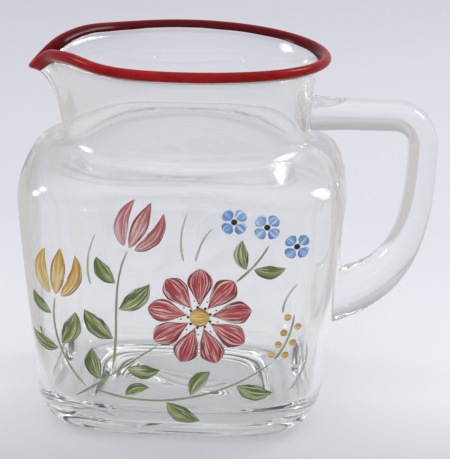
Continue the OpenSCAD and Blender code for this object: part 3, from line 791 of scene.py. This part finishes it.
# ---- Berries ----------------------------------------------------------------------------------
# Seven round dabs of yellow enamel, set off to the left and the right of a short stem.

berry_d = 3.2
# Where on the stem the first berry hangs, and how far on each next one
berry_count, berry_from, berry_step = 7, 0.06, 0.148
berry_stem = spots([[29.1, 40.3], [31.8, 44.7], [33.8, 50.5], [34.5, 60.2]])
berries = []
for k in range(berry_count):
    t = berry_from + berry_step * k
    here, before = bezier(berry_stem, t), bezier(berry_stem, t - 0.01)
    d = (here - before) / np.linalg.norm(here - before)
    reach = (1 if k % 2 == 0 else -1) * (berry_d / 2 + stem_w / 2 + paint_gap)
    berries.append(dab(here + reach * np.array([-d[1], d[0]]), berry_d / 2))
yellow_dabs = painted("berry_dabs", berries, thick=0.4, seed=17)
yellow_dabs.data.materials.append(
    brushed_enamel("fired_yellow_dab_enamel", "#EACB68", "#DEB148", "#B47D28", "#F7EABC",
                   streak_mm=0.8)
)
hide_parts("yellow_berries")


# ---- Leaves, stems and grass ------------------------------------------------------------------
# Leaves are single strokes of a brush loaded with dark and light green at its two corners, which
# leaves a dark and a light half. Stems and blades are thin lines of a liner brush.

leaf_len, leaf_w = 18.0, 8.4
low_stem = np.vstack([beside_main(0.2, -1), spots([[-8.1, 16.5], [10.8, 19.4], [28.4, 38.8]])])
over_daisy = daisy_at + polar(daisy_r + paint_gap, 48)
right_stem = np.vstack([over_daisy, spots([[21.6, 80.6], [24.3, 85.4], [26.4, 91.3]])])
# The stem, the place on it, the side, the size against a full leaf, and the turn away from it
leaf_places = [
    (main_stem, 0.3, 1, 0.85, 66), (main_stem, 0.6, -1, 0.8, 40),
    (left_stem, 0.46, 1, 0.75, 50), (left_stem, 0.5, -1, 0.95, 40), (left_stem, 0.82, 1, 0.66, 46),
    (tall_stem, 0.24, 1, 1, 46), (tall_stem, 0.48, -1, 1, 46), (tall_stem, 0.7, 1, 0.8, 42),
    (low_stem, 0.18, 1, 0.62, 30), (low_stem, 0.42, -1, 0.95, 36),
    (low_stem, 0.56, 1, 0.8, 40), (low_stem, 0.8, -1, 0.9, 40),
    (right_stem, 0.3, 1, 0.75, 52), (right_stem, 0.4, -1, 0.75, 48),
]


def leaf(stem, t, side, scale, turn):
    """A petal shape that starts beside the stem and turns away from it."""
    here, ahead = bezier(stem, t), bezier(stem, t + 0.01)
    heading = math.degrees(math.atan2(*(ahead - here)[::-1]))
    base = here + polar(stem_w / 2 + paint_gap, heading + 90 * side)
    return petal(base, heading + side * turn, leaf_len * scale, leaf_w * scale,
                 belly=0.95, blunt=0.9, bend=side * 0.09 * leaf_len)


leaves = painted("leaf_strokes", [leaf(*place) for place in leaf_places], seed=19)
leaves.data.materials.append(
    brushed_enamel("fired_green_leaf_enamel", "#A2AE66", "#879850", "#4C6229", "#DCE2C4",
                   streak_mm=0.7, halves=0.75)
)
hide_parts("leaves")

stem_lines = [main_stem, left_stem, tall_stem, low_stem, right_stem, berry_stem]
stem_strokes = [ribbon(line, 0.85 * stem_w, 0.6 * stem_w) for line in stem_lines]
stems = painted("stem_lines", stem_strokes, seed=23)
stems.data.materials.append(
    brushed_enamel("fired_green_liner_enamel", "#8E9C6B", "#98A578", "#74844F", "#BEC7A3",
                   streak_mm=0.6)
)
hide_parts("stems")

grass_places = [
    spots([[-25, 71.8], [-26.4, 77.7], [-26.4, 85.4], [-23.6, 94.2]]),
    spots([[2, 83.5], [0.7, 89.3], [0.7, 96.1], [2.7, 103.9]]),
    spots([[5.4, 83.5], [6.1, 89.3], [7.4, 94.2], [10.1, 98.1]]),
    spots([[33.8, 25.2], [37.8, 31.1], [39.2, 38.8], [38.5, 45.6]]),
    spots([[31.1, 61.2], [31.1, 66], [32.4, 69.9], [35.1, 73.8]]),
    spots([[-31.1, 13.6], [-25.7, 15.5], [-21.6, 14.6], [-17.6, 11.7]]),
]
grass_strokes = [ribbon(line, 0.8 * stem_w, 0.4 * stem_w) for line in grass_places]
grass = painted("grass_lines", grass_strokes, thick=0.2, seed=29)
grass.data.materials.append(
    brushed_enamel("fired_pale_green_liner_enamel", "#B3BA99", "#BDC3A8", "#9FA884", "#D8DBCB",
                   streak_mm=0.6)
)
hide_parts("grass_blades")


# ---- Studio -----------------------------------------------------------------------------------
# A pale sheet on a warm grey table, in a hazy room with two soft boxes, and a camera a little above
# the pitcher. The table, sheet and soft boxes are given in metres.

table_r, table_points, table_gap = 6.0, 96, 0.0002
floor_mesh = bpy.data.meshes.new("table_top")
ring = polar(table_r, 360 * steps(table_points, end=False))
ring = np.hstack([ring, np.full((table_points, 1), -table_gap)])
floor_mesh.from_pydata(ring.tolist(), [], [list(range(table_points))])
floor = bpy.data.objects.new("table_top", floor_mesh)
bpy.context.scene.collection.objects.link(floor)
# A translucent white sheet on a warm grey table. It glows a little by itself, which is painted
# light in place of a lamp below it, and lightens the shadow under the pitcher. It is cut just wider
# than the view, as is done for glass, so that the table draws the edges. Its tone by the way back
# is painted light and shade: lightest where the pitcher stands, darker in front and farther back
sheet_painted_light_tones = [
    (-0.1, "#A0A0A4"), (0.0, "#B9B9BD"), (0.3, "#ABABB0"), (1.2, "#A0A0A6"), (5.0, "#9A9AA0"),
]
near, far = sheet_painted_light_tones[0][0], sheet_painted_light_tones[-1][0]
# The middle and the half width of the sheet at the pitcher, and how they change for each metre back
sheet_x, sheet_turn, sheet_half, sheet_spread = 0.02, -0.021, 0.125, 0.122
# Over how much of its edge the sheet fades into the table
sheet_fade = 0.02
matt, tree, surface, place = material("self_lit_white_sheet")
where = add(tree, "SeparateXYZ", {0: place})
way_back = add(tree, "MapRange", {"Value": where.outputs["Y"], "From Min": near, "From Max": far})
ramp = add(tree, "ValToRGB", {"Fac": way_back.outputs[0]})
stops = ramp.color_ramp.elements
for k, (at, code) in enumerate(sheet_painted_light_tones):
    stop = stops[k] if k < 2 else stops.new(1.0)
    stop.position, stop.color = (at - near) / (far - near), linear(code)
# A little lighter on the right, where the larger soft box stands
drift = add(tree, "MapRange", {"Value": where.outputs["X"], "From Min": -0.3, "From Max": 0.3,
                               "To Min": 0.96, "To Max": 1.04})
tones = {0: ramp.outputs["Color"], 1: drift.outputs[0]}
tone = add(tree, "VectorMath", tones, operation="MULTIPLY")
middle_at = {0: where.outputs["Y"], 1: sheet_turn, 2: sheet_x}
middle = add(tree, "Math", middle_at, operation="MULTIPLY_ADD")
aside = add(tree, "Math", {0: where.outputs["X"], 1: middle.outputs[0]}, operation="SUBTRACT")
aside = add(tree, "Math", {0: aside.outputs[0]}, operation="ABSOLUTE")
half_at = {0: where.outputs["Y"], 1: sheet_spread, 2: sheet_half}
half = add(tree, "Math", half_at, operation="MULTIPLY_ADD")
beyond = add(tree, "Math", {0: aside.outputs[0], 1: half.outputs[0]}, operation="SUBTRACT")
fade = {"Value": beyond.outputs[0], "From Min": 0.0, "From Max": sheet_fade}
off_sheet = add(tree, "MapRange", fade)
tone = add(tree, "Mix", {"Factor": off_sheet.outputs[0], 6: tone.outputs[0]}, data_type="RGBA")
tone.inputs[7].default_value = linear("#999694")
tree.links.new(tone.outputs[2], surface.inputs["Base Color"])
# Painted glow: the sheet gives off its own tone as light
tree.links.new(tone.outputs[2], surface.inputs["Emission Color"])
surface.inputs["Emission Strength"].default_value = 0.8
surface.inputs["Roughness"].default_value = 0.85
surface.inputs["Specular IOR Level"].default_value = 0.1
floor_mesh.materials.append(matt)

world = bpy.data.worlds.new("room")
bpy.context.scene.world = world
world.use_nodes = True
# The room is a grey haze, darkest above the horizon, bright at the ceiling and behind the camera.
# Flags to both sides keep the light off and so draw the edges of the glass
haze_levels = [(0.0, 0.6), (0.25, 0.42), (0.5, 0.34), (0.9, 0.95)]
sky = world.node_tree
gaze = add(sky, "SeparateXYZ", {0: add(sky, "TexCoord").outputs["Generated"]})
high = add(sky, "ValToRGB", {"Fac": gaze.outputs["Z"]})
levels = high.color_ramp.elements
for k, (at, level) in enumerate(haze_levels):
    stop = levels[k] if k < 2 else levels.new(1.0)
    stop.position, stop.color = at, (level, level, level, 1)
ahead = add(sky, "MapRange", {"Value": gaze.outputs["Y"], "From Min": -1.0, "From Max": 1.0,
                              "To Min": 1.75, "To Max": 1.1})
haze = add(sky, "Math", {0: high.outputs[0], 1: ahead.outputs[0]}, operation="MULTIPLY")
sideways = add(sky, "Math", {0: gaze.outputs["X"]}, operation="ABSOLUTE")
flags = add(sky, "MapRange", {"Value": sideways.outputs[0], "From Min": 0.3, "From Max": 0.95,
                              "To Min": 1.0, "To Max": 0.62})
haze = add(sky, "Math", {0: haze.outputs[0], 1: flags.outputs[0]}, operation="MULTIPLY")
sky.nodes["Background"].inputs["Color"].default_value = linear("#FBFBFF")
sky.links.new(haze.outputs[0], sky.nodes["Background"].inputs["Strength"])


# What the soft boxes are turned to
lit_at = (0, 0, 0.1)


def soft_box(name, at, wide, high, power):
    """Oval area light at a point in metres, turned to look at the pitcher."""
    data = bpy.data.lights.new(name, "AREA")
    data.shape, data.size, data.size_y, data.energy = "ELLIPSE", wide, high, power
    lamp = bpy.data.objects.new(name, data)
    bpy.context.scene.collection.objects.link(lamp)
    away = np.array(at, float) - np.array(lit_at, float)
    lamp.location = at
    lamp.rotation_euler = Vector(away.tolist()).to_track_quat("Z", "Y").to_euler()


# Each soft box has a bright middle in a wider, dimmer cloth: place, width, height and watts
soft_box("soft_box_left", (-1.28, 0.42, 0.78), 0.2, 0.24, 1.8)
soft_box("soft_box_left_cloth", (-1.29, 0.423, 0.785), 0.42, 0.42, 1.4)
soft_box("soft_box_right", (1.04, 0.65, 1.0), 0.28, 0.26, 2.6)
soft_box("soft_box_right_cloth", (1.05, 0.656, 1.01), 0.6, 0.5, 2.4)

# The camera looks down by 16.3 degrees from 850 mm away, turned 2.5 degrees to the right, at about
# the middle of the pitcher, body and handle together
distance, fall, swing, roll = 850.0, math.radians(16.28), math.radians(2.5), math.radians(1.5)
middle_z, aim_x, aim_drop = 84.0, 18.5, 3.67
sensor_mm, frame_px, focal_px = 36.0, 459, 1839.3
across, ahead = math.cos(swing), math.sin(swing)
spin = np.array([[across, -ahead, 0], [ahead, across, 0], [0, 0, 1]])
eye = spin @ [0, -distance * math.cos(fall), distance * math.sin(fall) + middle_z]
aim = spin @ [aim_x, 0, middle_z - aim_drop]
forward = (aim - eye) / np.linalg.norm(aim - eye)
right = np.cross(forward, [0, 0, 1])
right /= np.linalg.norm(right)
up = np.cross(right, forward)
tilt = np.array([[math.cos(roll), math.sin(roll)], [-math.sin(roll), math.cos(roll)]])
pose = np.eye(4)
pose[:3, :2], pose[:3, 2], pose[:3, 3] = (tilt @ [right, up]).T, -forward, eye * 0.001
camera = bpy.data.objects.new("camera", bpy.data.cameras.new("camera"))
camera.data.sensor_width, camera.data.lens = sensor_mm, focal_px / frame_px * sensor_mm
camera.matrix_world = pose.T.tolist()
bpy.context.scene.collection.objects.link(camera)
bpy.context.scene.camera = camera
bpy.context.scene.view_settings.view_transform = "Standard"
# Light crosses many walls of glass, and is thrown back inside the thick ones many times
cycles, glass_bounces, matt_bounces = bpy.context.scene.cycles, 128, 6
cycles.max_bounces = cycles.transmission_bounces = cycles.glossy_bounces = glass_bounces
cycles.diffuse_bounces = matt_bounces
